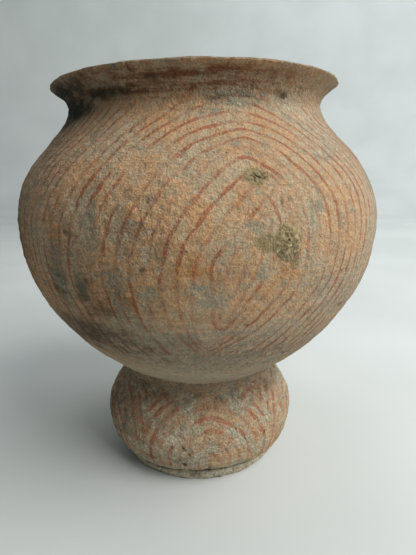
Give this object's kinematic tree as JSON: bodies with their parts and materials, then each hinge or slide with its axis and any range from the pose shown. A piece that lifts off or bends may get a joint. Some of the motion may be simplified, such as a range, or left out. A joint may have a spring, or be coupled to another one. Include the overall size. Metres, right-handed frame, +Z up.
{
  "type": "painted pottery jar",
  "caption": "Hand-built earthenware jar painted with nested loops: a round body, a drawn-in neck with a flared rim, and a hollow bulging foot to stand on.",
  "frame": {"origin": "centre of the base ring, on the surface that the jar stands on", "axes": "+Z up along the jar's axis; -Y towards the painted front of the picture; +X to the right of someone who looks at that front"},
  "size_m": [0.2776, 0.2776, 0.3027],
  "materials": {
    "painted_clay": "matt low-fired buff clay with worn red-brown painted lines",
    "foot_clay": "matt low-fired red-brown clay with worn painted arches",
    "bare_clay": "matt unpainted grey-brown clay",
    "burial_soil": "rough gritty hardened soil"
  },
  "bodies": {
    "root": {"foot_band": "foot_clay", "foot_wall": "foot_clay", "outer_luting_coil": "bare_clay", "inner_luting_coil": "bare_clay", "bowl_base": "bare_clay", "lower_wall": "painted_clay", "shoulder_wall": "painted_clay", "neck_collar": "painted_clay", "rim_lip": "painted_clay", "soil_crust_large": "burial_soil", "soil_crust_small": "burial_soil"}
  },
  "joints": []
}
